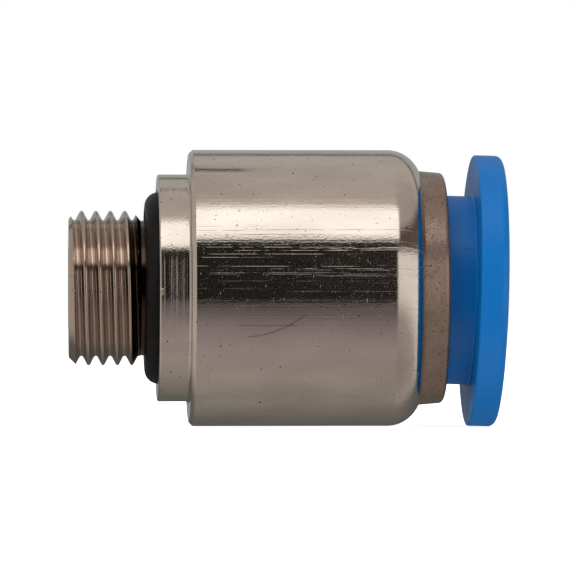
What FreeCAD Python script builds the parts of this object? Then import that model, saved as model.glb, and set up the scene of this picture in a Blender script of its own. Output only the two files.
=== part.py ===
"""Push to connect fitting: G 1/8 stud, 10 mm tube, with its seal, claw ring and release ring.

The axis runs along X. The stud points to -X, the tube goes in from +X and the origin is the centre of
the face that lands on the port. Every size is in millimetres and every angle in degrees.
"""
import FreeCAD, Part
import Sketcher
import math
import os
import re

from FreeCAD import Placement, Rotation, Vector

NODE_FOLDER = "parts"

# Driving dimensions. "x" sizes are places along the axis, "r" sizes are radii from it.
SIZES = {
    # stud: ISO 228 G 1/8 thread, cut at 55 degrees
    "stud_length": 5.56,
    "thread_major_r": 4.864,
    "thread_root_r": 4.283,
    "thread_pitch": 0.907,
    "thread_flank_angle": 27.5,
    "thread_turns": 6,
    "thread_start_x": -6.341,
    "tip_chamfer": 0.5,
    "crest_end_x": -1.54,
    "neck_start_x": -1.05,
    "neck_r": 4.25,
    # face groove and the ring in it
    "groove_depth": 1.0,
    "groove_r": 6.2,
    "ring_cord": 1.78,
    "ring_middle_r": 5.16,
    "ring_x": 0.1,
    # outside of the body
    "collar_r": 7.15,
    "collar_length": 1.98,
    "collar_round": 0.13,
    "barrel_r": 8.7,
    "barrel_end_x": 16.46,
    "barrel_chamfer": 0.24,
    "lip_round": 2.1,
    "lip_r": 7.4,
    # inside of the body
    "flow_r": 2.4,
    "flow_chamfer": 0.25,
    "hex_flats": 5.0,
    "hex_depth": 3.7,
    "tube_stop_x": 2.2,
    "tube_seat_r": 5.05,
    "seat_lead": 0.3,
    "chamber_x": 5.6,
    "chamber_r": 6.8,
    "cartridge_x": 8.0,
    "cartridge_r": 7.7,
    "lip_bend_x": 15.6,
    # running gaps between pieces
    "gap": 0.02,
    "side_gap": 0.06,
    # tube seal
    "seal_lip_x": 5.75,
    "seal_root_x": 6.9,
    "seal_bore_r": 5.15,
    "seal_lip_r": 4.92,
    "seal_lip_wall": 0.36,
    "seal_root_r": 5.95,
    # support ring
    "support_end_x": 11.74,
    "support_web": 0.73,
    "support_bore_r": 5.25,
    "support_small_r": 5.7,
    "support_large_r": 6.98,
    # claw ring and its claws
    "rim_thickness": 0.32,
    "rim_bore_r": 6.76,
    "rim_outer_r": 7.65,
    "claw_count": 12,
    "claw_hinge_x": 12.0,
    "claw_hinge_r": 6.7,
    "claw_angle": 34,
    "claw_sweep": 20,
    "claw_length": 2.954,
    "claw_thickness": 0.3,
    # guide ring
    "guide_neck_r": 7.385,
    "guide_end_r": 7.25,
    "guide_end_x": 18.02,
    "guide_round": 0.25,
    "guide_bore_r": 6.12,
    "guide_shoulder_x": 14.6,
    "guide_pocket_r": 6.75,
    # release ring
    "tube_bore_r": 5.15,
    "tube_lead": 0.45,
    "nose_x": 11.45,
    "nose_r": 5.4,
    "nose_taper_x": 12.6,
    "nose_sleeve_r": 5.9,
    "bead_start_x": 13.95,
    "bead_end_x": 14.38,
    "bead_r": 6.45,
    "sleeve_r": 5.95,
    "flange_start_x": 19.76,
    "flange_end_x": 21.52,
    "flange_r": 8.55,
    "flange_round": 0.42,
    "flange_back_round": 0.12,
    "droop_angle": 1.45,
    "droop_pivot_x": 13.55,
}

doc = FreeCAD.newDocument("push_fitting")
sheet = doc.addObject("Spreadsheet::Sheet", "Sizes")


def fill_sheet():
    """One row for each driving dimension: its name, and its value with the name as alias."""
    for row, (name, size) in enumerate(SIZES.items(), start=1):
        sheet.set(f"A{row}", name)
        sheet.set(f"B{row}", str(size))
        sheet.setAlias(f"B{row}", name)
    doc.recompute()


def bound(formula):
    """A formula in dimension names, written with the sheet's name in front of each of them."""
    return re.sub(r"[a-z]\w*", lambda word: f"Sizes.{word[0]}" if word[0] in SIZES else word[0], formula)


def value(formula):
    return float(sheet.evalExpression(bound(formula)))


def new_body(name):
    body = doc.addObject("PartDesign::Body", name)
    body.Label = name
    return body


def origin_feature(body, role):
    return next(feature for feature in body.Origin.OriginFeatures if feature.Role == role)


def new_sketch(body, name, plane, offset=None):
    """An empty sketch on one of the body's own origin planes, moved along its normal by offset."""
    sketch = body.newObject("Sketcher::SketchObject", name)
    sketch.AttachmentSupport = (origin_feature(body, plane), [""])
    sketch.MapMode = "FlatFace"
    if offset:
        sketch.setExpression(".AttachmentOffset.Base.z", bound(offset))
    return sketch


def arc_between(start, end, radius):
    """The arc of that radius that leaves start clockwise and reaches end in less than half a turn."""
    chord = end - start
    to_centre = math.sqrt(radius ** 2 - (chord.Length / 2) ** 2)
    inward = Vector(chord.y, -chord.x, 0).normalize()
    centre = (start + end) / 2 + inward * to_centre
    return Part.Arc(start, centre - inward * radius, end)


def hold(sketch, side, end, corner):
    """Ties one end of a side to its corner, by the corner's two formulas."""
    for kind, zero_axis, formula in (("DistanceX", -2, corner[0]), ("DistanceY", -1, corner[1])):
        if formula == "0":
            sketch.addConstraint(Sketcher.Constraint("PointOnObject", side, end, zero_axis))
        else:
            rule = Sketcher.Constraint(kind, -1, 1, side, end, value(formula))
            number = sketch.addConstraint(rule)
            sketch.setExpression(f"Constraints[{number}]", bound(formula))


def draw_outline(sketch, corners, arcs=None):
    """A closed outline whose corners, each a pair of formulas, run clockwise.

    arcs gives the radius of each round side by its number, counted from 0 at the first corner.
    """
    arcs = arcs or {}
    points = [Vector(value(along), value(across), 0) for along, across in corners]
    sides = range(len(corners))
    # a sketch keeps every arc counterclockwise, so a clockwise one has its ends swapped
    first_end = [2 if side in arcs else 1 for side in sides]
    last_end = [1 if side in arcs else 2 for side in sides]
    for side in sides:
        start, end = points[side], points[side - len(points) + 1]
        round_side = side in arcs
        sketch.addGeometry(
            arc_between(start, end, value(arcs[side])) if round_side else Part.LineSegment(start, end))
    for side in sides:
        following = (side + 1) % len(corners)
        sketch.addConstraint(
            Sketcher.Constraint("Coincident", side, last_end[side], following, first_end[following]))
        hold(sketch, side, first_end[side], corners[side])
    for side, radius in arcs.items():
        number = sketch.addConstraint(Sketcher.Constraint("Radius", side, value(radius)))
        sketch.setExpression(f"Constraints[{number}]", bound(radius))
    return sketch


def half_section(body, corners, arcs=None):
    """An outline in the XZ plane: first coordinate along the axis, second the radius."""
    return draw_outline(new_sketch(body, f"{body.Name}_section", "XZ_Plane"), corners, arcs)


def add_feature(body, kind, name):
    """A new feature at the end of the body's tree."""
    feature = body.newObject(f"PartDesign::{kind}", f"{body.Name}_{name}")
    body.Tip = feature
    return feature


def revolve(body, sketch, sweep=None):
    """Turns a half section about the X axis, all the way round or half the sweep to each side."""
    turned = add_feature(body, "Revolution", "turned")
    turned.Profile = sketch
    turned.ReferenceAxis = (origin_feature(body, "X_Axis"), [""])
    turned.Angle = 360
    if sweep:
        turned.Midplane = True
        turned.setExpression("Angle", bound(sweep))
    doc.recompute()
    return turned


def ring_edges(feature, places):
    """Names of the circular edges about the X axis at these places, each a pair of formulas."""
    wanted = [(value(along), value(radius)) for along, radius in places]
    names = []
    for number, edge in enumerate(feature.Shape.Edges, start=1):
        if not isinstance(edge.Curve, Part.Circle):
            continue
        found = (edge.Curve.Center.x, edge.Curve.Radius)
        if any(math.dist(found, place) < 1e-4 for place in wanted):
            names.append(f"Edge{number}")
    if len(names) != len(wanted):
        raise ValueError(f"{feature.Name}: {len(names)} edges found at {places}")
    return names


def ease(body, base, kind, name, size, places):
    """Rounds (Fillet, by Radius) or chamfers (Chamfer, by Size) the circular edges at these places."""
    eased = add_feature(body, kind, name)
    eased.Base = (base, ring_edges(base, places))
    eased.setExpression("Radius" if kind == "Fillet" else "Size", bound(size))
    doc.recompute()
    return eased


def must_cut(before, after):
    """A pocket or helix that points away from the solid cuts nothing and shows no error."""
    if not after.Shape.Volume < before.Shape.Volume - 0.5:
        raise ValueError(f"{after.Name} cuts nothing")


def cut_hexagon(body, base):
    """The key socket: a hexagon across flats, from the tube stop towards the stud."""
    plane = new_sketch(body, "hexagon", "YZ_Plane", "tube_stop_x")
    flat, half_side, point = "hex_flats / 2", "hex_flats / 2 * tan(30)", "hex_flats / 2 / cos(30)"
    draw_outline(plane, [
        (flat, f"-{half_side}"), ("0", f"-{point}"), (f"-{flat}", f"-{half_side}"),
        (f"-{flat}", half_side), ("0", point), (flat, half_side)])
    socket = add_feature(body, "Pocket", "hexagon_socket")
    socket.Profile = plane
    socket.Type = "Length"
    socket.setExpression("Length", bound("hex_depth"))
    doc.recompute()
    must_cut(base, socket)
    return socket


def cut_thread(body, base):
    """The right-hand thread: a V groove with a flat root, turned round the stud from its tip."""
    groove = new_sketch(body, "thread_groove", "XY_Plane")
    flank = "tan(thread_flank_angle)"
    middle_r = "(thread_major_r + thread_root_r) / 2"
    outside = "(thread_major_r + 0.08)"
    root_half = f"(thread_pitch / 4 - ({middle_r} - thread_root_r) * {flank})"
    mouth_half = f"(thread_pitch / 4 + ({outside} - {middle_r}) * {flank})"
    draw_outline(groove, [
        (f"thread_start_x - {root_half}", "thread_root_r"),
        (f"thread_start_x - {mouth_half}", outside),
        (f"thread_start_x + {mouth_half}", outside),
        (f"thread_start_x + {root_half}", "thread_root_r")])
    thread = add_feature(body, "SubtractiveHelix", "thread")
    thread.Profile = groove
    thread.ReferenceAxis = (origin_feature(body, "X_Axis"), [""])
    thread.Mode = "pitch-turns-angle"
    thread.setExpression("Pitch", bound("thread_pitch"))
    thread.setExpression("Turns", bound("thread_turns"))
    thread.Angle = 0
    thread.LeftHanded = False
    thread.Reversed = False
    doc.recompute()
    must_cut(base, thread)
    return thread


def make_body():
    """One turned piece: stud, neck, face groove, collar and barrel, bored for the tube and its parts."""
    body = new_body("body")
    lip_start = ("barrel_end_x - sqrt(lip_round * lip_round"
                 " - (lip_round - barrel_r + lip_r) * (lip_round - barrel_r + lip_r))")
    section = half_section(body, [
        ("-stud_length", "flow_r"),
        ("-stud_length", "thread_major_r - tip_chamfer"),
        ("-stud_length + tip_chamfer", "thread_major_r"),
        ("crest_end_x", "thread_major_r"),
        ("neck_start_x", "neck_r"),
        ("groove_depth", "neck_r"),
        ("groove_depth", "groove_r"),
        ("0", "groove_r"),
        ("0", "collar_r"),
        ("collar_length", "collar_r"),
        ("collar_length", "barrel_r"),
        (lip_start, "barrel_r"),
        ("barrel_end_x", "lip_r"),
        ("lip_bend_x + cartridge_r - lip_r", "lip_r"),
        ("lip_bend_x", "cartridge_r"),
        ("cartridge_x", "cartridge_r"),
        ("cartridge_x", "chamber_r"),
        ("chamber_x", "chamber_r"),
        ("chamber_x", "tube_seat_r + seat_lead"),
        ("chamber_x - seat_lead", "tube_seat_r"),
        ("tube_stop_x", "tube_seat_r"),
        ("tube_stop_x", "flow_r")], arcs={11: "lip_round"})
    turned = revolve(body, section)
    rounded = ease(body, turned, "Fillet", "collar_edges", "collar_round", [
        ("0", "collar_r"), ("collar_length", "collar_r")])
    chamfered = ease(body, rounded, "Chamfer", "barrel_edge", "barrel_chamfer", [
        ("collar_length", "barrel_r")])
    bored = ease(body, chamfered, "Chamfer", "flow_bore_edge", "flow_chamfer", [
        ("-stud_length", "flow_r")])
    cut_thread(body, cut_hexagon(body, bored))
    return body


def make_port_o_ring():
    """The ring seal in the face groove, half of it standing proud of the collar's face."""
    ring = doc.addObject("Part::Torus", "port_o_ring")
    ring.Label = "port_o_ring"
    ring.setExpression("Radius1", bound("ring_middle_r"))
    ring.setExpression("Radius2", bound("ring_cord / 2"))
    ring.Placement = Placement(Vector(value("ring_x"), 0, 0), Rotation(Vector(0, 1, 0), 90))
    return ring


def make_tube_seal():
    """The lip seal round the tube. Its two lips open towards the port, so that pressure spreads them."""
    body = new_body("tube_seal")
    end, outer = "cartridge_x - gap", "chamber_r - gap"
    revolve(body, half_section(body, [
        ("seal_lip_x", "seal_lip_r"),
        ("seal_lip_x", "seal_lip_r + seal_lip_wall"),
        ("seal_root_x", "seal_root_r"),
        ("seal_lip_x", f"{outer} - seal_lip_wall"),
        ("seal_lip_x", outer),
        (end, outer),
        (end, "seal_bore_r"),
        ("seal_root_x", "seal_bore_r")]))
    return body


def make_support_ring():
    """Backs the seal, and its cone stops the claws from opening too far."""
    body = new_body("support_ring")
    start, outer = "cartridge_x + gap", "cartridge_r - gap"
    web_end = "cartridge_x + support_web"
    revolve(body, half_section(body, [
        (start, "support_bore_r"),
        (start, outer),
        ("support_end_x", outer),
        ("support_end_x", "support_large_r"),
        (web_end, "support_small_r"),
        (web_end, "support_bore_r")]))
    return body


def make_claw_ring():
    """The flat rim that the claws are bent out of."""
    body = new_body("claw_ring")
    start = "support_end_x + side_gap"
    end = f"{start} + rim_thickness"
    revolve(body, half_section(body, [
        (start, "rim_bore_r"), (start, "rim_outer_r"), (end, "rim_outer_r"), (end, "rim_bore_r")]))
    return body


def make_claw(number):
    """One claw: a slice of a cone that runs inwards from its bend, turned to its place on the rim."""
    body = new_body(f"claw_{number:02d}")
    tip_x, tip_r = "claw_length * cos(claw_angle)", "claw_length * sin(claw_angle)"
    inner_x = "claw_hinge_x + claw_thickness * sin(claw_angle)"
    inner_r = "claw_hinge_r - claw_thickness * cos(claw_angle)"
    revolve(body, half_section(body, [
        (inner_x, inner_r),
        (f"{inner_x} - {tip_x}", f"{inner_r} - {tip_r}"),
        (f"claw_hinge_x - {tip_x}", f"claw_hinge_r - {tip_r}"),
        ("claw_hinge_x", "claw_hinge_r")]), "claw_sweep")
    turn = 360 / value("claw_count") * (number - 1)
    body.Placement = Placement(Vector(), Rotation(Vector(1, 0, 0), turn))
    return body


def make_guide_ring():
    """Held by the barrel's lip. It carries the release ring, and its shoulder keeps that ring in."""
    body = new_body("guide_ring")
    start = "support_end_x + side_gap + rim_thickness + side_gap"
    outer = "cartridge_r - gap"
    bend = "lip_bend_x - gap"
    turned = revolve(body, half_section(body, [
        (start, "guide_pocket_r"),
        (start, outer),
        (bend, outer),
        (f"{bend} + {outer} - guide_neck_r", "guide_neck_r"),
        ("barrel_end_x", "guide_neck_r"),
        ("guide_end_x", "guide_end_r"),
        ("guide_end_x", "guide_bore_r"),
        ("guide_shoulder_x", "guide_bore_r"),
        ("guide_shoulder_x", "guide_pocket_r")]))
    ease(body, turned, "Fillet", "front_edges", "guide_round", [
        ("guide_end_x", "guide_end_r"), ("guide_end_x", "guide_bore_r")])
    return body


def make_release_ring():
    """Pushed in by its flange, it spreads the claws with its nose. It droops a little in the guide."""
    body = new_body("release_ring")
    turned = revolve(body, half_section(body, [
        ("nose_x", "tube_bore_r"),
        ("nose_x", "nose_r"),
        ("nose_taper_x", "nose_sleeve_r"),
        ("bead_start_x", "nose_sleeve_r"),
        ("bead_start_x", "bead_r"),
        ("bead_end_x", "bead_r"),
        ("bead_end_x", "sleeve_r"),
        ("flange_start_x", "sleeve_r"),
        ("flange_start_x", "flange_r"),
        ("flange_end_x", "flange_r"),
        ("flange_end_x", "tube_bore_r")]))
    rounded = ease(body, turned, "Fillet", "flange_edge", "flange_round", [
        ("flange_end_x", "flange_r")])
    backed = ease(body, rounded, "Fillet", "flange_back", "flange_back_round", [
        ("flange_start_x", "flange_r"), ("flange_start_x", "sleeve_r")])
    ease(body, backed, "Chamfer", "tube_entry", "tube_lead", [("flange_end_x", "tube_bore_r")])
    droop = Rotation(Vector(0, 1, 0), value("droop_angle"))
    body.Placement = Placement(Vector(), droop, Vector(value("droop_pivot_x"), 0, 0))
    return body


def check_document():
    """A recompute can leave a feature failed without raising."""
    failed = [item.Name for item in doc.Objects if {"Invalid", "Error"} & set(item.State)]
    if failed:
        raise ValueError(f"failed features: {failed}")


def write_node(node):
    shape = node.Shape
    if shape.isNull() or not shape.isValid() or len(shape.Solids) != 1:
        raise ValueError(f"{node.Label} is not one valid solid")
    shape.exportStep(f"{NODE_FOLDER}/{node.Label}.step")
    box = shape.BoundBox
    print(f"{node.Label:14s} {shape.Volume:9.3f} mm3  x {box.XMin:7.3f} to {box.XMax:7.3f}"
          f"  z {box.ZMin:7.3f} to {box.ZMax:7.3f}")


def main():
    os.makedirs(NODE_FOLDER, exist_ok=True)
    fill_sheet()
    nodes = [make_body(), make_port_o_ring(), make_tube_seal(), make_support_ring(), make_claw_ring()]
    nodes += [make_claw(number) for number in range(1, SIZES["claw_count"] + 1)]
    nodes += [make_guide_ring(), make_release_ring()]
    doc.recompute()
    check_document()
    for node in nodes:
        write_node(node)


main()
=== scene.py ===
"""Looks of the push to connect fitting, laid out as an add-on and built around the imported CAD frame.

Every size is in metres, in the frame's own axes: +X runs from the threaded stud to the tube end, +Z is up,
and the origin is the centre of the collar's face that lands on the port. Radii are measured from the X axis.
"""

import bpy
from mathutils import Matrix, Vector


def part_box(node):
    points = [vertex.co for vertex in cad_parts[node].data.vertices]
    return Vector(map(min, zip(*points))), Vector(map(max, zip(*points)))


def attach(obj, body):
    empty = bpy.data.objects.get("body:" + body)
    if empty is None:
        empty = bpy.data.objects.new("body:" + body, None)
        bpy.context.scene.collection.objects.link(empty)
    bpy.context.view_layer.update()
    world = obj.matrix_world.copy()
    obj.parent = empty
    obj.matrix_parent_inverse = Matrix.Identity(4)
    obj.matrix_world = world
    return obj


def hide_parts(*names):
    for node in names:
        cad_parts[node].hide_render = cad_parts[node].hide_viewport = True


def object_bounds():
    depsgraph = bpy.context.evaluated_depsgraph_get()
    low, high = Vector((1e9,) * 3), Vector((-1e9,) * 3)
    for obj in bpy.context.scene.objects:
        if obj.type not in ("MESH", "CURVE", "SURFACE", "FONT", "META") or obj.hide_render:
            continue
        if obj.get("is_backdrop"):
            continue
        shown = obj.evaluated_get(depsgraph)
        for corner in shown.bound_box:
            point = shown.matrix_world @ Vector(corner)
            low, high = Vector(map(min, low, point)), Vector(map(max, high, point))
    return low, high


bl_info = {
    "name": "Push to connect fitting",
    "version": (1, 0, 0),
    "blender": (4, 5, 0),
    "location": "View3D > Sidebar > Fitting",
    "description": "Builds the pieces, finishes and studio of a push to connect fitting",
    "category": "Object",
}

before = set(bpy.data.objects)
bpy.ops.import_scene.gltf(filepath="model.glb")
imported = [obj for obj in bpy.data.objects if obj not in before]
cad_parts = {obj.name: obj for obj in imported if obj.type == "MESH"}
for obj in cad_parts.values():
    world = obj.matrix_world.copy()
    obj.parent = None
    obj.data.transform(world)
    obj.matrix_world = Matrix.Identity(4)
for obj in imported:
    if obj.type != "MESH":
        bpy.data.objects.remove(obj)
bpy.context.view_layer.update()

import math

import bmesh
import bpy
from bpy.props import FloatProperty, FloatVectorProperty, IntProperty, PointerProperty
from mathutils import Matrix, Vector

MM = 0.001
DEGREE = math.radians(1)
BODY = "fitting_body"
ARC_R = 8.7 * MM  # arcs round the axis are measured at the barrel's radius
FAR = 30  # in millimetres, past every end of the fitting
LONG = 90  # in millimetres, a pattern cell so long that the pattern doesn't change along it
SHARP_ANGLE = 32 * DEGREE  # edges that turn more than this stay crisp


# ---------------------------------------------------------------- colours and nodes

def linear(hex_colour):
    """An sRGB colour written as hex digits, as linear red, green, blue and alpha."""
    parts = [int(hex_colour[i:i + 2], 16) / 255 for i in (0, 2, 4)]
    return [c / 12.92 if c <= 0.04045 else ((c + 0.055) / 1.055) ** 2.4 for c in parts] + [1.0]


def add_node(tree, kind, inputs=None, output=0, **settings):
    """Adds a shader node with its settings, sets or links its inputs, and gives the output to use next."""
    node = tree.nodes.new("ShaderNode" + kind)
    for name, setting in settings.items():
        setattr(node, name, setting)
    for name, source in (inputs or {}).items():
        if isinstance(source, bpy.types.NodeSocket):
            tree.links.new(source, node.inputs[name])
        else:
            node.inputs[name].default_value = source
    return node.outputs[output] if node.outputs else node


def new_material(name):
    """An empty material and its node tree."""
    material = bpy.data.materials.new(name)
    material.use_nodes = True
    material.node_tree.nodes.clear()
    return material, material.node_tree


def on_lathe(tree):
    """A point's place as a lathe sees it: along the axis, round the barrel from its front, and out."""
    where = add_node(tree, "TexCoord", output="Object")
    parts = add_node(tree, "SeparateXYZ", {"Vector": where}).node.outputs
    front = add_node(tree, "Math", {0: parts["Y"], 1: -1.0}, operation="MULTIPLY")
    angle = add_node(tree, "Math", {0: parts["Z"], 1: front}, operation="ARCTAN2")
    around = add_node(tree, "Math", {0: angle, 1: ARC_R}, operation="MULTIPLY")
    flat = add_node(tree, "CombineXYZ", {"Y": parts["Y"], "Z": parts["Z"]})
    out = add_node(tree, "VectorMath", {0: flat}, output="Value", operation="LENGTH")
    return add_node(tree, "CombineXYZ", {"X": parts["X"], "Y": around, "Z": out})


def patches(tree, where, cell, low, high, detail=2.0):
    """Random patches of that size in millimetres: 0 outside them and 1 well inside."""
    stretched = add_node(tree, "Mapping", {"Vector": where, "Scale": [1 / (size * MM) for size in cell]})
    noise = add_node(tree, "TexNoise", {"Vector": stretched, "Scale": 1.0, "Detail": detail})
    return add_node(tree, "MapRange", {"Value": noise, "From Min": low, "From Max": high},
                    interpolation_type="SMOOTHSTEP")


def painted(tree, colour, *layers):
    """A colour with others laid over it in turn. Each layer is its share, from 0 to 1, and its colour."""
    for share, other in layers:
        colour = add_node(tree, "Mix", {0: share, 6: colour, 7: other}, output=2, data_type="RGBA")
    return colour


def between(tree, value, start, end, soft, unit=MM):
    """1 where a value lies from start to end, falling to 0 over the soft width outside them. The three
    numbers are in the unit, a millimetre unless another is given."""
    rise = add_node(tree, "MapRange", {
        "Value": value, "From Min": (start - soft) * unit, "From Max": start * unit})
    fall = add_node(tree, "MapRange", {
        "Value": value, "From Min": end * unit, "From Max": (end + soft) * unit,
        "To Min": 1.0, "To Max": 0.0})
    return add_node(tree, "Math", {0: rise, 1: fall}, operation="MULTIPLY")


def summed(tree, *shares, base=0.0):
    """A sum of sockets, each times its number, on top of a base."""
    total = base
    for socket, number in shares:
        total = add_node(tree, "Math", {0: socket, 1: number, 2: total}, operation="MULTIPLY_ADD")
    return total


def shade(tree, height, depth, **inputs):
    """The surface shader with its relief. Depth is the relief's full height in millimetres."""
    bump = add_node(tree, "Bump", {"Strength": 1.0, "Distance": depth * MM, "Height": height})
    named = {name.replace("_", " "): source for name, source in inputs.items()}
    surface = add_node(tree, "BsdfPrincipled", {"Normal": bump, **named})
    add_node(tree, "OutputMaterial", {"Surface": surface})


# ---------------------------------------------------------------- finishes

def nickel_on_drawn_brass(looks):
    """Bright nickel on brass turned from drawn bar. The barrel keeps the bar's draw lines along the axis,
    with handling scratches, and turned faces have rings round them, which the thin plating doesn't hide.
    The eye sees warm silver whose reflections break up into fine lines, browner down in the thread."""
    material, tree = new_material("nickel_plated_drawn_brass")
    where = add_node(tree, "TexCoord", output="Object")
    lathe = on_lathe(tree)
    along, around, out = add_node(tree, "SeparateXYZ", {"Vector": lathe}).node.outputs

    # draw lines are 0.02 mm wide and run the bar's length; drawn 0.05 to 0.1 mm so that they show
    lines = patches(tree, lathe, (25, 0.09, LONG), 0.3, 0.7, detail=1.0)
    deep_lines = patches(tree, lathe, (25, 0.055, LONG), 0.62, 0.70, detail=1.0)
    broken = patches(tree, lathe, (1.6, 0.06, LONG), 0.40, 0.62, detail=5.0)
    # knocks against other fittings leave short ticks across the bar and dots of about 0.1 mm
    ticks = patches(tree, lathe, (0.07, 0.5, LONG), 0.73, 0.82, detail=1.0)
    dots = patches(tree, where, (0.13, 0.10, 0.10), 0.70, 0.80, detail=1.0)
    # the tool's feed leaves rings 0.07 mm apart on every turned surface; drawn 0.09 mm apart
    rings = patches(tree, lathe, (0.09, 40, 0.09), 0.3, 0.7, detail=3.0)
    # the plating's own grain is finer than 0.01 mm; drawn 0.1 to 0.2 mm so that it shows
    grain = patches(tree, lathe, (0.22, 0.11, 0.2), 0.3, 0.7, detail=1.5)

    # the barrel's outside, past its stud-side chamfer and clear of the bores
    barrel = add_node(tree, "Math", {
        0: between(tree, along, 2.25, FAR, 0.03), 1: between(tree, out, 7.42, FAR, 0.03)},
        operation="MULTIPLY")
    broken = add_node(tree, "Math", {0: broken, 1: barrel}, operation="MULTIPLY")
    deep_lines = add_node(tree, "Math", {0: deep_lines, 1: broken}, operation="MULTIPLY")
    # the deep lines crowd together along one side of the bar, just above the middle of the front
    crowded = summed(tree, (between(tree, around, 1.3, 3.3, 0.8), 1.2), base=0.35)
    deep_lines = add_node(tree, "Math", {0: deep_lines, 1: crowded}, operation="MULTIPLY")
    stud = between(tree, along, -FAR, -1.0, 0.15)
    # the first result also holds the painted dark reflection of the lamp arm near the barrel's top
    scratches, nick = wear_and_painted_reflection(tree, along, around)
    drawn = summed(tree, (lines, 0.08), (deep_lines, -0.25), (ticks, -0.25), (dots, -0.2), (grain, 0.11))
    rough = summed(tree, (rings, 0.32), (grain, 0.12), (nick, 3.0))
    # thread rolls press the stud's surface smoother than a turning tool leaves it
    rolled_smooth = summed(tree, (stud, -0.8), base=1.0)
    rough = add_node(tree, "Math", {0: rough, 1: rolled_smooth}, operation="MULTIPLY")
    height = add_node(tree, "Mix", {0: barrel, 2: rough, 3: drawn})

    # the neck between the thread and the port ring is painted dark brown
    neck = between(tree, along, -1.62, -0.2, 0.1)
    cloud = patches(tree, where, (5, 2, 2), 0.3, 0.7, detail=5.0)
    pits = patches(tree, where, (0.21, 0.16, 0.16), 0.72, 0.78, detail=1.0)
    # this mask darkens the two scratches and paints the lamp arm's dark reflection near the barrel's top
    scratches = add_node(tree, "Math", {0: scratches, 1: barrel}, operation="MULTIPLY")
    tone = painted(tree, looks.nickel, (cloud, linear("D2C8BC")), (stud, looks.thread),
                   (neck, linear("4A3A31")), (pits, linear("4B4039")), (scratches, linear("54483F")))

    arm_reflection_and_smear = patches(tree, lathe, (3, 0.4, LONG), 0.3, 0.7, detail=3.0)
    gloss = summed(tree, (arm_reflection_and_smear, 0.02), (stud, 0.04), (pits, 0.2), (deep_lines, 0.18), (ticks, 0.2),
                   base=0.09)
    shade(tree, height, looks.line_depth / MM, Base_Color=tone, Metallic=1.0, Roughness=gloss)
    return material


def wear_and_painted_reflection(tree, along, around):
    """Handling marks and a painted reflection. The first result has those that darken the metal: a painted
    dark reflection of the lamp arm near the barrel's top, broken into streaks, and two scratches under its
    middle. The second has a nick in the collar's front edge."""
    # a painted dark reflection of the lamp arm near the barrel's top, broken into streaks below
    arm_reflection_and_smear = add_node(tree, "Math", {
        0: between(tree, along, 2.3, 5.0, 1.1), 1: between(tree, around, 8.62, 8.8, 0.2)},
        operation="MULTIPLY")
    streaks = patches(tree, on_lathe(tree), (1.2, 0.09, LONG), 0.25, 0.6, detail=4.0)
    arm_reflection_and_smear = add_node(tree, "Math", {0: arm_reflection_and_smear, 1: streaks}, operation="MULTIPLY")
    # the curved scratch climbs from 3.1 mm to 1.7 mm below the middle as it runs from 5.3 mm to 8.9 mm
    run = add_node(tree, "MapRange", {
        "Value": along, "From Min": 5.3 * MM, "From Max": 8.9 * MM, "To Min": 0.0, "To Max": 1.0})
    climb = add_node(tree, "Math", {0: run, 1: 2.0}, operation="POWER")
    line = summed(tree, (climb, -1.4 * MM), (around, 1.0))
    curved = add_node(tree, "Math", {
        0: between(tree, along, 5.6, 8.8, 0.4), 1: between(tree, line, -3.07, -3.03, 0.05)},
        operation="MULTIPLY")
    straight = add_node(tree, "Math", {
        0: between(tree, along, 5.0, 8.2, 0.5), 1: between(tree, around, -2.36, -2.32, 0.05)},
        operation="MULTIPLY")
    nick = add_node(tree, "Math", {
        0: between(tree, along, -0.02, 0.16, 0.06), 1: between(tree, around, -0.42, -0.14, 0.12)},
        operation="MULTIPLY")
    return summed(tree, (arm_reflection_and_smear, 0.9), (curved, 0.45), (straight, 0.3)), nick


def nitrile_rubber(looks):
    """Nitrile rubber, moulded: nearly black with a dull, faintly bloomed skin."""
    material, tree = new_material("moulded_nitrile_rubber")
    where = add_node(tree, "TexCoord", output="Object")
    bloom = patches(tree, where, (0.6, 0.6, 0.6), 0.3, 0.7, detail=4.0)
    skin = patches(tree, where, (0.05, 0.05, 0.05), 0.3, 0.7)
    tone = painted(tree, looks.rubber, (bloom, linear("181616")))
    gloss = summed(tree, (bloom, 0.12), (skin, 0.05), base=0.34)
    shade(tree, skin, 0.002, Base_Color=tone, Roughness=gloss, IOR=1.52, Specular_IOR_Level=0.1)
    return material


def bronze_filled_plastic(looks):
    """Polymer filled with bronze powder, moulded: brown with a metallic glow, bright grains and dark pits."""
    material, tree = new_material("moulded_bronze_filled_plastic")
    where = add_node(tree, "TexCoord", output="Object")
    cloud = patches(tree, where, (1.2, 1.2, 1.2), 0.3, 0.7, detail=5.0)
    # powder grains of 0.05 mm, drawn 0.09 mm so that they show
    grains = patches(tree, where, (0.09, 0.09, 0.09), 0.5, 0.72)
    pits = patches(tree, where, (0.14, 0.13, 0.13), 0.66, 0.72, detail=1.0)
    tone = painted(tree, looks.bronze, (cloud, linear("8A756B")),
                   (summed(tree, (grains, 0.4)), linear("C3A78F")),
                   (summed(tree, (pits, 0.85)), linear("33271F")))
    height = summed(tree, (grains, 0.25), (pits, -1.0))
    gloss = summed(tree, (cloud, 0.06), (grains, -0.06), base=0.24)
    shade(tree, height, 0.008, Base_Color=tone, Metallic=0.8, Roughness=gloss)
    return material


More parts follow.
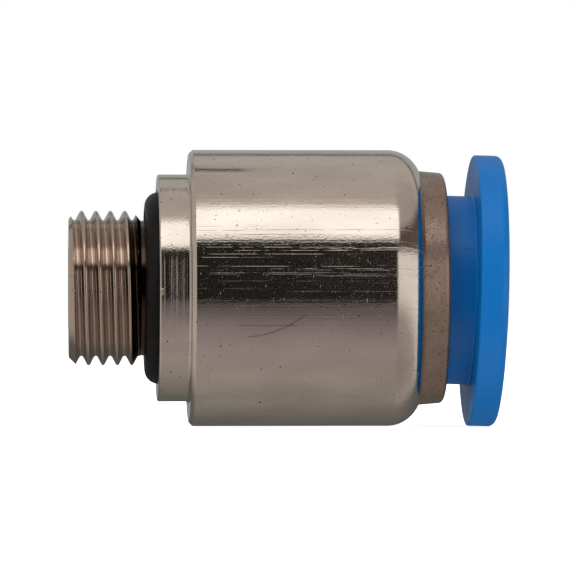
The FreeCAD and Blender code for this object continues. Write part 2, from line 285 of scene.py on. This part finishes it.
def blue_acetal(looks):
    """Acetal, coloured through and moulded: one strong blue with a soft sheen from a spark-eroded mould."""
    material, tree = new_material("moulded_blue_acetal")
    where = add_node(tree, "TexCoord", output="Object")
    cloud = patches(tree, where, (2.5, 2.5, 2.5), 0.3, 0.7, detail=4.0)
    # spark texture of 0.02 mm, drawn 0.06 mm so that it shows
    spark = patches(tree, where, (0.06, 0.06, 0.06), 0.3, 0.7)
    tone = painted(tree, looks.blue, (summed(tree, (cloud, 0.5)), linear("005FA6")))
    gloss = summed(tree, (cloud, 0.05), (spark, 0.04), base=0.33)
    # the mould's parting line runs along the sleeve
    along, around, _ = add_node(tree, "SeparateXYZ", {"Vector": on_lathe(tree)}).node.outputs
    parting = add_node(tree, "Math", {
        0: between(tree, along, 14.4, 19.7, 0.05), 1: between(tree, around, 3.72, 3.78, 0.05)},
        operation="MULTIPLY")
    shade(tree, summed(tree, (spark, 0.1), (parting, 1.0)), 0.015, Base_Color=tone, Roughness=gloss,
          IOR=1.48, Specular_IOR_Level=0.25)
    return material


def natural_acetal():
    """Acetal without pigment, moulded: waxy off-white with a slight gloss."""
    material, tree = new_material("moulded_natural_acetal")
    where = add_node(tree, "TexCoord", output="Object")
    cloud = patches(tree, where, (1.5, 1.5, 1.5), 0.3, 0.7, detail=3.0)
    spark = patches(tree, where, (0.06, 0.06, 0.06), 0.3, 0.7)
    tone = painted(tree, linear("E2DDD0"), (cloud, linear("EFEBE0")))
    gloss = summed(tree, (spark, 0.06), base=0.33)
    shade(tree, spark, 0.0015, Base_Color=tone, Roughness=gloss, IOR=1.48)
    return material


def spring_strip():
    """Stainless spring strip, cold rolled and stamped: cool bright grey with fine rolling lines."""
    material, tree = new_material("rolled_stainless_strip")
    where = add_node(tree, "TexCoord", output="Object")
    # rolling lines of 0.01 mm, drawn 0.04 mm so that they show
    rolled = patches(tree, where, (0.04, 0.9, 0.04), 0.3, 0.7, detail=3.0)
    tone = painted(tree, linear("B4B2AD"), (rolled, linear("CDCBC6")))
    gloss = summed(tree, (rolled, 0.1), base=0.2)
    shade(tree, rolled, 0.0008, Base_Color=tone, Metallic=1.0, Roughness=gloss)
    return material


# ---------------------------------------------------------------- turned and moulded shapes

def draw_section(bm, corners):
    """A closed half section. A corner is its place along the axis, its radius and maybe its rounding."""
    points = [bm.verts.new((corner[0], 0, corner[1])) for corner in corners]
    for first, second in zip(points, points[1:] + points[:1]):
        bm.edges.new((first, second))
    for point, corner in zip(points, corners):
        if len(corner) > 2:
            bmesh.ops.bevel(bm, geom=[point], offset=corner[2], offset_type="OFFSET", segments=5,
                            profile=0.5, affect="VERTICES", material=-1)


def hold_long_sides(bm, margin=0.06 * MM):
    """Adds a point near each end of every long side, so that smooth shading stays flat between them."""
    for edge in list(bm.edges):
        length = edge.calc_length()
        if length > 4 * margin:
            rest, _ = bmesh.utils.edge_split(edge, edge.verts[0], margin / length)
            far = max((edge, rest), key=lambda part: part.calc_length())
            bmesh.utils.edge_split(far, far.verts[1], margin / far.calc_length())


def turned(corners, steps):
    """A half section turned all the way round the axis."""
    bm = bmesh.new()
    draw_section(bm, corners)
    hold_long_sides(bm)
    spin_round(bm, steps)
    return bm


def spin_round(bm, steps):
    """Spins everything in the mesh once round the axis and points its faces outwards."""
    bmesh.ops.spin(bm, geom=bm.verts[:] + bm.edges[:], cent=(0, 0, 0), axis=(1, 0, 0), dvec=(0, 0, 0),
                   angle=math.tau, steps=steps, use_merge=True, use_duplicate=False)
    bmesh.ops.recalc_face_normals(bm, faces=bm.faces)


def finish_piece(bm, name, body, material, node):
    """Makes a shaded object from the mesh, rides it on its body and lets it stand for its CAD node."""
    mesh = bpy.data.meshes.new(name)
    bm.to_mesh(mesh)
    bm.free()
    mesh.shade_smooth()
    mesh.set_sharp_from_angle(angle=SHARP_ANGLE)
    piece = bpy.data.objects.new(name, mesh)
    bpy.context.scene.collection.objects.link(piece)
    mesh.materials.append(material)
    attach(piece, body)
    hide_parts(node)
    return piece


# ---------------------------------------------------------------- body

def stud_envelope(sizes, along):
    """Radius of the stud before its thread is cut: tip chamfer, major diameter and run-out to the neck."""
    tip = sizes.thread_major_r - sizes.tip_chamfer + (along + sizes.stud_length)
    slope = (sizes.thread_major_r - sizes.neck_r) / (sizes.neck_start - sizes.crest_end)
    run_out = sizes.neck_r + (sizes.neck_start - along) * slope
    return min(sizes.thread_major_r, tip, run_out)


def thread_radius(sizes, along, angle):
    """Radius of the ISO 228 thread at a place on the stud. It has 55 degree flanks, and its crests and
    roots are rounded by 0.137329 of the pitch."""
    pitch = sizes.thread_pitch
    turn = (along - sizes.thread_start - pitch * angle / math.tau) / pitch
    from_root = abs(turn - round(turn)) * pitch
    from_crest = pitch / 2 - from_root
    rounding = 0.137329 * pitch
    flank = 27.5 * DEGREE
    if from_root < rounding * math.cos(flank):
        return sizes.thread_root_r + rounding - math.sqrt(rounding ** 2 - from_root ** 2)
    if from_crest < rounding * math.cos(flank):
        return sizes.thread_major_r - rounding + math.sqrt(rounding ** 2 - from_crest ** 2)
    middle = (sizes.thread_major_r + sizes.thread_root_r) / 2
    return middle + (from_root - pitch / 4) / math.tan(flank)


def lip_corners(sizes):
    """Corners round the outside of the rolled lip, from the end of the barrel's straight side."""
    centre_out = sizes.barrel_r - sizes.lip_round
    last = math.acos((sizes.lip_r - centre_out) / sizes.lip_round)
    centre = sizes.barrel_end - sizes.lip_round * math.sin(last)
    steps = 30
    return [(centre + sizes.lip_round * math.sin(last * step / steps),
             centre_out + sizes.lip_round * math.cos(last * step / steps)) for step in range(steps + 1)]


def body_corners(sizes):
    """The body's half section, from the mouth of its flow bore over the outside and back down the bores.
    The threaded part has 40 points to a pitch, for the thread to be cut from."""
    threaded = sizes.neck_start + sizes.stud_length
    steps = round(threaded / (sizes.thread_pitch / 40))
    stud = [-sizes.stud_length + threaded * step / steps for step in range(steps + 1)]
    socket_end = sizes.tube_stop - sizes.hexagon_depth
    mouth, lead = 0.25 * MM, 0.3 * MM
    return (
        [(-sizes.stud_length + mouth, sizes.flow_r), (-sizes.stud_length, sizes.flow_r + mouth)]
        + [(along, stud_envelope(sizes, along)) for along in stud]
        + [(sizes.groove_depth, sizes.neck_r),
           (sizes.groove_depth, sizes.groove_r, 0.1 * MM),
           (0, sizes.groove_r, 0.06 * MM),
           (0, sizes.collar_r, sizes.collar_round),
           (sizes.collar_length, sizes.collar_r, sizes.collar_fillet),
           (sizes.collar_length, sizes.barrel_r - sizes.barrel_chamfer, 0.04 * MM),
           (sizes.collar_length + sizes.barrel_chamfer, sizes.barrel_r, 0.05 * MM)]
        + lip_corners(sizes)
        + [(sizes.lip_bend + sizes.cartridge_r - sizes.lip_r, sizes.lip_r),
           (sizes.lip_bend, sizes.cartridge_r),
           (sizes.cartridge_start, sizes.cartridge_r),
           (sizes.cartridge_start, sizes.chamber_r),
           (sizes.chamber_start, sizes.chamber_r),
           (sizes.chamber_start, sizes.tube_seat_r + lead),
           (sizes.chamber_start - lead, sizes.tube_seat_r),
           (sizes.tube_stop, sizes.tube_seat_r),
           (sizes.tube_stop, sizes.hexagon_flats / 2),
           (socket_end, sizes.hexagon_flats / 2),
           (socket_end, sizes.flow_r)])


def cut_thread_and_socket(bm, sizes):
    """Moves the turned stud's points in to the thread, as its tool does, and the key socket's out to its
    hexagon, whose corners point up and down. A Boolean cut would leave the round crests ragged."""
    flat, near = sizes.hexagon_flats / 2, 0.01 * MM
    for point in bm.verts:
        angle, out = math.atan2(point.co.z, point.co.y), math.hypot(point.co.y, point.co.z)
        target = out
        if point.co.x < sizes.neck_start and out > sizes.neck_r:
            target = min(out, thread_radius(sizes, point.co.x, angle))
        elif abs(out - flat) < near:
            side = (angle + math.pi / 6) % (math.pi / 3) - math.pi / 6
            target = flat / math.cos(side)
        point.co.y *= target / out
        point.co.z *= target / out


# ---------------------------------------------------------------- sizes and looks that a user may change

def length(name, description, millimetres):
    return FloatProperty(name=name, description=description, default=millimetres * MM, unit="LENGTH",
                         precision=5)


def colour(name, description, hex_colour):
    return FloatVectorProperty(name=name, description=description, default=linear(hex_colour), size=4,
                               min=0.0, max=1.0, subtype="COLOR")


class FittingSizes(bpy.types.PropertyGroup):
    """Places along the axis and radii."""
    steps: IntProperty(name="Steps", description="Steps round each turned piece", default=240, min=24)
    stud_length: length("Stud length", "From the port face to the stud's tip", 5.56)
    thread_major_r: length("Thread crest radius", "Major radius of the stud's thread", 4.864)
    thread_root_r: length("Thread root radius", "Minor radius of the stud's thread", 4.283)
    thread_pitch: length("Thread pitch", "Advance of the thread in one turn", 0.907)
    thread_start: length("Thread start", "Place of a groove on the +Y side", -6.341)
    tip_chamfer: length("Tip chamfer", "Chamfer on the stud's tip", 0.5)
    crest_end: length("Crest end", "Where the full thread ends", -1.54)
    neck_start: length("Neck start", "Where the neck begins", -1.05)
    neck_r: length("Neck radius", "Radius of the neck behind the thread", 4.25)
    groove_depth: length("Face groove depth", "Depth of the groove for the port ring", 1.0)
    groove_r: length("Face groove radius", "Outer radius of that groove", 6.2)
    collar_r: length("Collar radius", "Radius of the collar", 7.15)
    collar_length: length("Collar length", "Where the collar meets the barrel", 1.98)
    collar_round: length("Collar rounding", "Edge rounding of the collar", 0.13)
    collar_fillet: length("Collar fillet", "Fillet between the collar and the barrel's face", 0.2)
    barrel_r: length("Barrel radius", "Radius of the barrel", 8.7)
    barrel_end: length("Barrel end", "Where the rolled lip ends", 16.46)
    barrel_chamfer: length("Barrel chamfer", "Chamfer on the barrel's stud side", 0.24)
    lip_round: length("Lip rounding", "Radius of the rolled lip's outside", 2.1)
    lip_r: length("Lip radius", "Radius that the lip closes to", 7.4)
    lip_bend: length("Lip bend", "Where the lip's inside turns in", 15.6)
    flow_r: length("Flow bore radius", "Radius of the bore through the stud", 2.4)
    hexagon_flats: length("Hexagon", "Key socket across its flats", 5.0)
    hexagon_depth: length("Hexagon depth", "Depth of the key socket", 3.7)
    tube_stop: length("Tube stop", "Face that the tube lands on", 2.2)
    tube_seat_r: length("Tube seat radius", "Radius round the tube's end", 5.05)
    chamber_start: length("Seal chamber", "Where the seal chamber begins", 5.6)
    chamber_r: length("Seal chamber radius", "Radius of the seal chamber", 6.8)
    cartridge_start: length("Cartridge bore", "Where the bore for the inner rings begins", 8.0)
    cartridge_r: length("Cartridge bore radius", "Radius of that bore", 7.7)
    gap: length("Fit", "Clearance round each inner ring", 0.02)
    seal_lip: length("Seal lip", "Where the tube seal's lips begin", 5.75)
    seal_root: length("Seal root", "Where the two lips part", 6.9)
    seal_bore_r: length("Seal bore radius", "Bore behind the seal's lip", 5.15)
    seal_lip_r: length("Seal lip radius", "Radius of the lip that grips the tube", 4.92)
    seal_wall: length("Lip wall", "Thickness of each lip at its edge", 0.36)
    seal_root_r: length("Seal root radius", "Radius where the two lips part", 5.95)
    support_end: length("Support end", "Front face of the support ring", 11.74)
    support_web: length("Support web", "Thickness of the support ring's web", 0.73)
    support_bore_r: length("Support bore radius", "Bore of the support ring", 5.25)
    support_small_r: length("Support cone, small", "Small radius of its cone", 5.7)
    support_large_r: length("Support cone, large", "Large radius of its cone", 6.98)
    rim_start: length("Claw rim", "Back face of the claw ring's rim", 11.8)
    rim_thickness: length("Rim thickness", "Thickness of that rim", 0.32)
    rim_bore_r: length("Rim bore radius", "Bore of that rim", 6.76)
    rim_r: length("Rim radius", "Outer radius of that rim", 7.65)
    claw_hinge: length("Claw bend", "Where the claws bend out of the rim", 12.0)
    claw_hinge_r: length("Claw bend radius", "Radius of that bend", 6.7)
    claw_length: length("Claw length", "From the bend to the tip", 2.954)
    claw_thickness: length("Claw thickness", "Thickness of the strip", 0.3)
    claw_angle: FloatProperty(name="Claw angle", description="Angle of the claws to the tube",
                              default=34 * DEGREE, subtype="ANGLE")
    claw_sweep: FloatProperty(name="Claw sweep", description="Angle that one claw covers round the tube",
                              default=20 * DEGREE, subtype="ANGLE")
    guide_start: length("Guide ring start", "Back face of the guide ring", 12.18)
    guide_end: length("Guide ring end", "Front face of the guide ring", 18.02)
    guide_bore_r: length("Guide bore radius", "Radius that guides the release ring", 6.12)
    guide_neck_r: length("Guide neck radius", "Guide ring's radius inside the lip", 7.385)
    guide_end_r: length("Guide end radius", "Guide ring's radius at its front face", 7.25)
    guide_shoulder: length("Guide shoulder", "Shoulder that keeps the release ring in", 14.6)
    guide_pocket_r: length("Guide pocket radius", "Radius of the pocket round the bead", 6.75)
    tube_bore_r: length("Tube bore radius", "Bore of the release ring", 5.15)
    nose: length("Nose", "Tip of the release ring's nose", 11.45)
    nose_r: length("Nose radius", "Outer radius of that tip", 5.4)
    taper_end: length("Taper end", "Where the nose's taper ends", 12.6)
    taper_r: length("Taper radius", "Radius of the sleeve behind the nose", 5.9)
    bead_start: length("Bead start", "Start of the release ring's bead", 13.95)
    bead_end: length("Bead end", "End of the release ring's bead", 14.38)
    bead_r: length("Bead radius", "Radius of that bead", 6.45)
    sleeve_r: length("Sleeve radius", "Release ring's radius behind its flange", 5.95)
    flange_start: length("Flange start", "Back face of the release ring's flange", 19.76)
    flange_end: length("Flange end", "Front face of the release ring's flange", 21.52)
    flange_r: length("Flange radius", "Radius of that flange", 8.55)
    flange_round: length("Flange rounding", "Edge rounding of its front", 0.42)
    flange_back_round: length("Flange back rounding", "Edge rounding of its back", 0.12)
    bore_lead: length("Bore lead", "Chamfer that leads the tube in", 0.45)
    droop_pivot: length("Droop pivot", "Point that the release ring leans about", 13.55)
    droop: FloatProperty(name="Droop", description="Lean of the release ring in its guide",
                         default=1.45 * DEGREE, subtype="ANGLE")


class FittingLooks(bpy.types.PropertyGroup):
    """Colours and finish depths."""
    nickel: colour("Nickel", "Nickel plating", "E0D7CB")
    thread: colour("Thread", "Thin plating down in the thread", "C6B6AA")
    rubber: colour("Rubber", "Seals", "100F0F")
    bronze: colour("Bronze plastic", "Guide ring", "968273")
    blue: colour("Blue", "Release ring", "0065AC")
    line_depth: length("Line depth", "Depth of the turning rings and scratches", 0.012)


# ---------------------------------------------------------------- operators

class FITTING_OT_body(bpy.types.Operator):
    """Turns the plated body with its thread, lip and bores"""
    bl_idname = "fitting.body"
    bl_label = "Body"

    def execute(self, context):
        sizes = context.scene.fitting_sizes
        bm = turned(body_corners(sizes), sizes.steps)
        cut_thread_and_socket(bm, sizes)
        finish_piece(bm, "plated_body", BODY,
                     nickel_on_drawn_brass(context.scene.fitting_looks), "body")
        return {"FINISHED"}


class FITTING_OT_seals(bpy.types.Operator):
    """Moulds the round port ring and the lip seal round the tube"""
    bl_idname = "fitting.seals"
    bl_label = "Seals"

    def execute(self, context):
        sizes = context.scene.fitting_sizes
        rubber = nitrile_rubber(context.scene.fitting_looks)
        low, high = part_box("port_o_ring")
        cord_r = (high.x - low.x) / 2
        bm = bmesh.new()
        centre = Matrix.Translation(((low.x + high.x) / 2, 0, high.z - cord_r))
        bmesh.ops.create_circle(bm, segments=40, radius=cord_r,
                                matrix=centre @ Matrix.Rotation(90 * DEGREE, 4, "X"))
        spin_round(bm, sizes.steps)
        finish_piece(bm, "port_ring_seal", BODY, rubber, "port_o_ring")

        end, outer = sizes.cartridge_start - sizes.gap, sizes.chamber_r - sizes.gap
        edge = 0.05 * MM
        finish_piece(turned([
            (sizes.seal_lip, sizes.seal_lip_r, edge),
            (sizes.seal_lip, sizes.seal_lip_r + sizes.seal_wall, edge),
            (sizes.seal_root, sizes.seal_root_r, 4 * edge),
            (sizes.seal_lip, outer - sizes.seal_wall, edge),
            (sizes.seal_lip, outer, edge),
            (end, outer, edge),
            (end, sizes.seal_bore_r, edge),
            (sizes.seal_root, sizes.seal_bore_r, 4 * edge)], sizes.steps),
            "tube_lip_seal", BODY, rubber, "tube_seal")
        return {"FINISHED"}


class FITTING_OT_support_ring(bpy.types.Operator):
    """Moulds the ring between the seal and the claws"""
    bl_idname = "fitting.support_ring"
    bl_label = "Support ring"

    def execute(self, context):
        sizes = context.scene.fitting_sizes
        start, outer = sizes.cartridge_start + sizes.gap, sizes.cartridge_r - sizes.gap
        web = sizes.cartridge_start + sizes.support_web
        edge = 0.06 * MM
        finish_piece(turned([
            (start, sizes.support_bore_r, edge),
            (start, outer, edge),
            (sizes.support_end, outer, edge),
            (sizes.support_end, sizes.support_large_r, edge),
            (web, sizes.support_small_r, edge),
            (web, sizes.support_bore_r, edge)], sizes.steps),
            "claw_support_ring", BODY, natural_acetal(), "support_ring")
        return {"FINISHED"}


class FITTING_OT_claws(bpy.types.Operator):
    """Stamps the spring claw ring: its rim and each claw bent out of it"""
    bl_idname = "fitting.claws"
    bl_label = "Claw ring and claws"

    def execute(self, context):
        sizes = context.scene.fitting_sizes
        strip = spring_strip()
        end = sizes.rim_start + sizes.rim_thickness
        edge = 0.03 * MM
        finish_piece(turned([
            (sizes.rim_start, sizes.rim_bore_r, edge), (sizes.rim_start, sizes.rim_r, edge),
            (end, sizes.rim_r, edge), (end, sizes.rim_bore_r, edge)], sizes.steps),
            "claw_ring_rim", "claw_ring", strip, "claw_ring")
        claws = sorted(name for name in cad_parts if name.startswith("claw_") and name[5:].isdigit())
        for number, name in enumerate(claws):
            finish_piece(self.bent_claw(sizes, math.tau * number / len(claws)),
                         "spring_" + name, name, strip, name)
        return {"FINISHED"}

    def bent_claw(self, sizes, turn):
        """One claw: a strip that leans in from its bend, swept part of the way round the axis."""
        lean = Vector((-math.cos(sizes.claw_angle), 0, -math.sin(sizes.claw_angle))) * sizes.claw_length
        inward = Vector((math.sin(sizes.claw_angle), 0, -math.cos(sizes.claw_angle))) * sizes.claw_thickness
        bend = Vector((sizes.claw_hinge, 0, sizes.claw_hinge_r))
        bm = bmesh.new()
        face = bm.faces.new([bm.verts.new(corner) for corner in (
            bend, bend + lean, bend + lean + inward, bend + inward)])
        bmesh.ops.rotate(bm, verts=bm.verts, cent=(0, 0, 0),
                         matrix=Matrix.Rotation(turn - sizes.claw_sweep / 2, 3, "X"))
        bmesh.ops.spin(bm, geom=[face] + bm.edges[:] + bm.verts[:], cent=(0, 0, 0), axis=(1, 0, 0),
                       dvec=(0, 0, 0), angle=sizes.claw_sweep, steps=10, use_duplicate=False)
        bmesh.ops.recalc_face_normals(bm, faces=bm.faces)
        corners = [edge for edge in bm.edges
                   if len(edge.link_faces) == 2 and edge.calc_face_angle() > 40 * DEGREE]
        bmesh.ops.bevel(bm, geom=corners, offset=0.03 * MM, offset_type="OFFSET", segments=2, profile=0.5,
                        affect="EDGES", material=-1)
        return bm


class FITTING_OT_guide_ring(bpy.types.Operator):
    """Moulds the brown guide ring that the lip is rolled over"""
    bl_idname = "fitting.guide_ring"
    bl_label = "Guide ring"

    def execute(self, context):
        sizes = context.scene.fitting_sizes
        outer = sizes.cartridge_r - sizes.gap
        bend = sizes.lip_bend - sizes.gap
        finish_piece(turned([
            (sizes.guide_start, sizes.guide_pocket_r),
            (sizes.guide_start, outer),
            (bend, outer),
            (bend + outer - sizes.guide_neck_r, sizes.guide_neck_r),
            (sizes.barrel_end, sizes.guide_neck_r),
            (sizes.guide_end, sizes.guide_end_r, 0.25 * MM),
            (sizes.guide_end, sizes.guide_bore_r, 0.25 * MM),
            (sizes.guide_shoulder, sizes.guide_bore_r),
            (sizes.guide_shoulder, sizes.guide_pocket_r)], sizes.steps),
            "bronze_guide_ring", BODY,
            bronze_filled_plastic(context.scene.fitting_looks), "guide_ring")
        return {"FINISHED"}


class FITTING_OT_release_ring(bpy.types.Operator):
    """Moulds the blue release ring, leaning a little in its guide"""
    bl_idname = "fitting.release_ring"
    bl_label = "Release ring"

    def execute(self, context):
        sizes = context.scene.fitting_sizes
        edge = 0.06 * MM
        bm = turned([
            (sizes.nose, sizes.tube_bore_r, edge),
            (sizes.nose, sizes.nose_r, edge),
            (sizes.taper_end, sizes.taper_r),
            (sizes.bead_start, sizes.taper_r),
            (sizes.bead_start, sizes.bead_r, edge),
            (sizes.bead_end, sizes.bead_r, edge),
            (sizes.bead_end, sizes.sleeve_r),
            (sizes.flange_start, sizes.sleeve_r, sizes.flange_back_round),
            (sizes.flange_start, sizes.flange_r, sizes.flange_back_round),
            (sizes.flange_end, sizes.flange_r, sizes.flange_round),
            (sizes.flange_end, sizes.tube_bore_r + sizes.bore_lead, 2 * edge),
            (sizes.flange_end - sizes.bore_lead, sizes.tube_bore_r, 2 * edge)], sizes.steps)
        bmesh.ops.rotate(bm, verts=bm.verts, cent=(sizes.droop_pivot, 0, 0),
                         matrix=Matrix.Rotation(sizes.droop, 3, "Y"))
        finish_piece(bm, "blue_release_ring", "release_ring",
                     blue_acetal(context.scene.fitting_looks), "release_ring")
        return {"FINISHED"}


class FITTING_OT_studio(bpy.types.Operator):
    """Sets the pale floor, the soft studio light and the camera"""
    bl_idname = "fitting.studio"
    bl_label = "Studio"

    def execute(self, context):
        pale_floor(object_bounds()[0].z)
        studio_light(context.scene)
        fill_lights(context.scene)
        side_camera(context.scene)
        context.scene.view_settings.view_transform = "Standard"
        return {"FINISHED"}


# ---------------------------------------------------------------- studio

# Light round the fitting's axis, by the angle up from the camera's side in degrees: the open camera side
# is dark, a long softbox hangs over it, the ceiling and back wall are pale, and the table below is dim.
FRONT_TO_BACK = [
    (-180, 0.38, 0.40, 0.39), (-176, 0.09, 0.09, 0.09), (-140, 0.16, 0.16, 0.15), (-111, 0.28, 0.26, 0.245),
    (-82, 0.36, 0.32, 0.31), (-56, 0.37, 0.33, 0.335), (-34, 0.27, 0.23, 0.245), (-19, 0.145, 0.125, 0.135),
    (-13, 0.11, 0.095, 0.10),
    (-11, 0.012, 0.011, 0.011), (39, 0.012, 0.011, 0.011), (44, 1.38, 1.36, 1.35), (67.5, 1.44, 1.42, 1.41),
    (75, 0.58, 0.51, 0.48), (92, 0.48, 0.44, 0.42), (123, 0.50, 0.47, 0.46), (145, 0.48, 0.46, 0.44),
    (146.5, 0.07, 0.07, 0.07), (149.5, 0.07, 0.07, 0.07), (151, 0.40, 0.42, 0.41), (180, 0.38, 0.40, 0.39),
]
# Light from the right-hand wall, by height: a panel at bench height with a dark gap over it. Their edges
# drop towards the back, so the height is measured from a line that drops with them.
RIGHT_WALL = [
    (-1.1, 0.30, 0.27, 0.26), (-0.62, 0.40, 0.36, 0.34), (-0.4, 0.68, 0.63, 0.59), (-0.2, 0.86, 0.81, 0.78),
    (0.27, 0.86, 0.81, 0.78), (0.31, 0.12, 0.095, 0.085), (0.54, 0.10, 0.08, 0.07), (0.64, 0.42, 0.37, 0.35),
    (1.1, 0.48, 0.44, 0.42),
]
LEFT_WALL = (0.50, 0.46, 0.43)
LAMP_ARM = (0.12, 0.10, 0.09)
RAMP_TOP = 1.5  # the brightest light that a ramp can hold, since its colours stop at 1

# soft panels, each with its place in metres and its watts; all face the origin
PANEL_SIZE = 0.3
PANELS = [
    ("fill_left", (-0.24, -0.22, 0.08), 0.62),
    ("fill_right", (0.24, -0.22, 0.02), 0.48),
    ("fill_top", (0.02, -0.05, 0.35), 0.48),
    ("fill_table", (0.02, -0.16, -0.3), 0.45),
]


def ramp_colour(light):
    """A light's three levels as a ramp holds them, with alpha."""
    return [level / RAMP_TOP for level in light] + [1.0]


def light_steps(tree, place, low, high, table):
    """Light that follows a table as the place goes from low to high."""
    share = add_node(tree, "MapRange", {"Value": place, "From Min": low, "From Max": high})
    colours = add_node(tree, "ValToRGB", {"Fac": share})
    steps = colours.node.color_ramp.elements
    while len(steps) < len(table):
        steps.new(0.5)
    for step, (at, *light) in zip(steps, table):
        step.position = (at - low) / (high - low)
        step.color = ramp_colour(light)
    return colours


def studio_light(scene):
    """A world lit by those tables. The camera itself sees plain white."""
    scene.world = bpy.data.worlds.new("studio")
    scene.world.use_nodes = True
    tree = scene.world.node_tree
    tree.nodes.clear()
    parts = add_node(tree, "SeparateXYZ", {"Vector": add_node(tree, "TexCoord")}).node.outputs
    front = add_node(tree, "Math", {0: parts["Y"], 1: -1.0}, operation="MULTIPLY")
    angle = add_node(tree, "Math", {0: parts["Z"], 1: front}, operation="ARCTAN2")
    middle = light_steps(tree, add_node(tree, "Math", {0: angle}, operation="DEGREES"), -180, 180,
                         FRONT_TO_BACK)
    # a dark lamp arm hangs over the stud end, further back than the softbox
    arm = add_node(tree, "Math", {
        0: between(tree, angle, 118, 121, 1.5, unit=DEGREE),
        1: between(tree, parts["X"], -2, 0.031, 0.003, unit=1)}, operation="MULTIPLY")
    middle = painted(tree, middle, (arm, ramp_colour(LAMP_ARM)))
    height = add_node(tree, "Math", {0: parts["Y"], 1: 0.25, 2: parts["Z"]}, operation="MULTIPLY_ADD")
    right = light_steps(tree, height, -1.1, 1.1, RIGHT_WALL)
    to_left = add_node(tree, "MapRange", {"Value": parts["X"], "From Min": 0.0, "From Max": -0.1})
    side = painted(tree, right, (to_left, ramp_colour(LEFT_WALL)))
    # the right-hand wall comes nearer to the camera than the left-hand one, but not over the softbox
    left = add_node(tree, "Math", {0: parts["X"], 1: -0.35}, operation="MULTIPLY")
    aside = add_node(tree, "Math", {0: parts["X"], 1: left}, operation="MAXIMUM")
    aside = summed(tree, (aside, 1.0), (between(tree, parts["Z"], 0.66, 0.9, 0.04, unit=1), -0.1))
    to_side = add_node(tree, "MapRange", {"Value": aside, "From Min": 0.09, "From Max": 0.22},
                       interpolation_type="SMOOTHSTEP")
    # both walls end behind the fitting
    walls_end = add_node(tree, "MapRange", {"Value": parts["Y"], "From Min": 0.55, "From Max": 0.3})
    to_side = add_node(tree, "Math", {0: to_side, 1: walls_end}, operation="MULTIPLY")
    light = painted(tree, middle, (to_side, side))
    shone = add_node(tree, "Background", {"Color": light, "Strength": RAMP_TOP})
    white = add_node(tree, "Background", {"Color": (1, 1, 1, 1), "Strength": 1.0})
    camera_ray = add_node(tree, "LightPath", output="Is Camera Ray")
    chosen = add_node(tree, "MixShader", {0: camera_ray, 1: shone, 2: white})
    add_node(tree, "OutputWorld", {"Surface": chosen})


def fill_lights(scene):
    """Soft panels that light the plastics and the rubber, and stay out of the metal's reflections."""
    for name, place, watts in PANELS:
        data = bpy.data.lights.new(name, "AREA")
        data.energy = watts
        data.size = PANEL_SIZE
        panel = bpy.data.objects.new(name, data)
        scene.collection.objects.link(panel)
        panel.location = place
        panel.rotation_euler = (-Vector(place)).to_track_quat("-Z", "Y").to_euler()
        panel.visible_glossy = False
        panel.visible_camera = False


def pale_floor(top):
    """A plain white table top under the barrel, lit from within so that it looks white. It stays out of
    the metal's reflections and lights nothing: the panel below the fitting stands for that."""
    material, tree = new_material("white_table_top")
    surface = add_node(tree, "BsdfPrincipled", {
        "Base Color": linear("F4F4F4"), "Roughness": 0.9, "Specular IOR Level": 0.0,
        "Emission Color": (1, 1, 1, 1), "Emission Strength": 0.85})
    add_node(tree, "OutputMaterial", {"Surface": surface})
    reach, drop = 0.8, 0.02 * MM
    bm = bmesh.new()
    bmesh.ops.create_grid(bm, x_segments=1, y_segments=1, size=reach,
                          matrix=Matrix.Translation((0, 0, top - drop)))
    mesh = bpy.data.meshes.new("table_top")
    bm.to_mesh(mesh)
    bm.free()
    mesh.materials.append(material)
    floor = bpy.data.objects.new("table_top", mesh)
    bpy.context.scene.collection.objects.link(floor)
    floor.visible_glossy = False
    floor.visible_diffuse = False
    floor.visible_shadow = False
    floor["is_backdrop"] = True


def side_camera(scene):
    """A long lens that looks at the fitting's side, from a little towards the stud."""
    target, place = Vector((8.27, 0, 0)) * MM, Vector((-8.65, -330, 0)) * MM
    data = bpy.data.cameras.new("side_camera")
    data.sensor_width = 36
    data.lens = 327.4
    data.clip_start = 0.01
    camera = bpy.data.objects.new("side_camera", data)
    scene.collection.objects.link(camera)
    camera.location = place
    camera.rotation_euler = (target - place).to_track_quat("-Z", "Y").to_euler()
    scene.camera = camera


# ---------------------------------------------------------------- panel, registration and build

STEPS = (FITTING_OT_body, FITTING_OT_seals, FITTING_OT_support_ring, FITTING_OT_claws,
         FITTING_OT_guide_ring, FITTING_OT_release_ring, FITTING_OT_studio)


class FITTING_PT_pieces(bpy.types.Panel):
    """Lists the fitting's pieces, sizes and looks"""
    bl_idname = "FITTING_PT_pieces"
    bl_label = "Push to connect fitting"
    bl_space_type = "VIEW_3D"
    bl_region_type = "UI"
    bl_category = "Fitting"

    def draw(self, context):
        for step in STEPS:
            self.layout.operator(step.bl_idname)
        for group in (context.scene.fitting_sizes, context.scene.fitting_looks):
            box = self.layout.box()
            for name in group.__annotations__:
                box.prop(group, name)


CLASSES = (FittingSizes, FittingLooks) + STEPS + (FITTING_PT_pieces,)


def register():
    for item in CLASSES:
        bpy.utils.register_class(item)
    bpy.types.Scene.fitting_sizes = PointerProperty(type=FittingSizes)
    bpy.types.Scene.fitting_looks = PointerProperty(type=FittingLooks)


def unregister():
    del bpy.types.Scene.fitting_looks
    del bpy.types.Scene.fitting_sizes
    for item in reversed(CLASSES):
        bpy.utils.unregister_class(item)


def main():
    register()
    for step in STEPS:
        group, name = step.bl_idname.split(".")
        getattr(getattr(bpy.ops, group), name)()


if __name__ == "__main__":
    main()
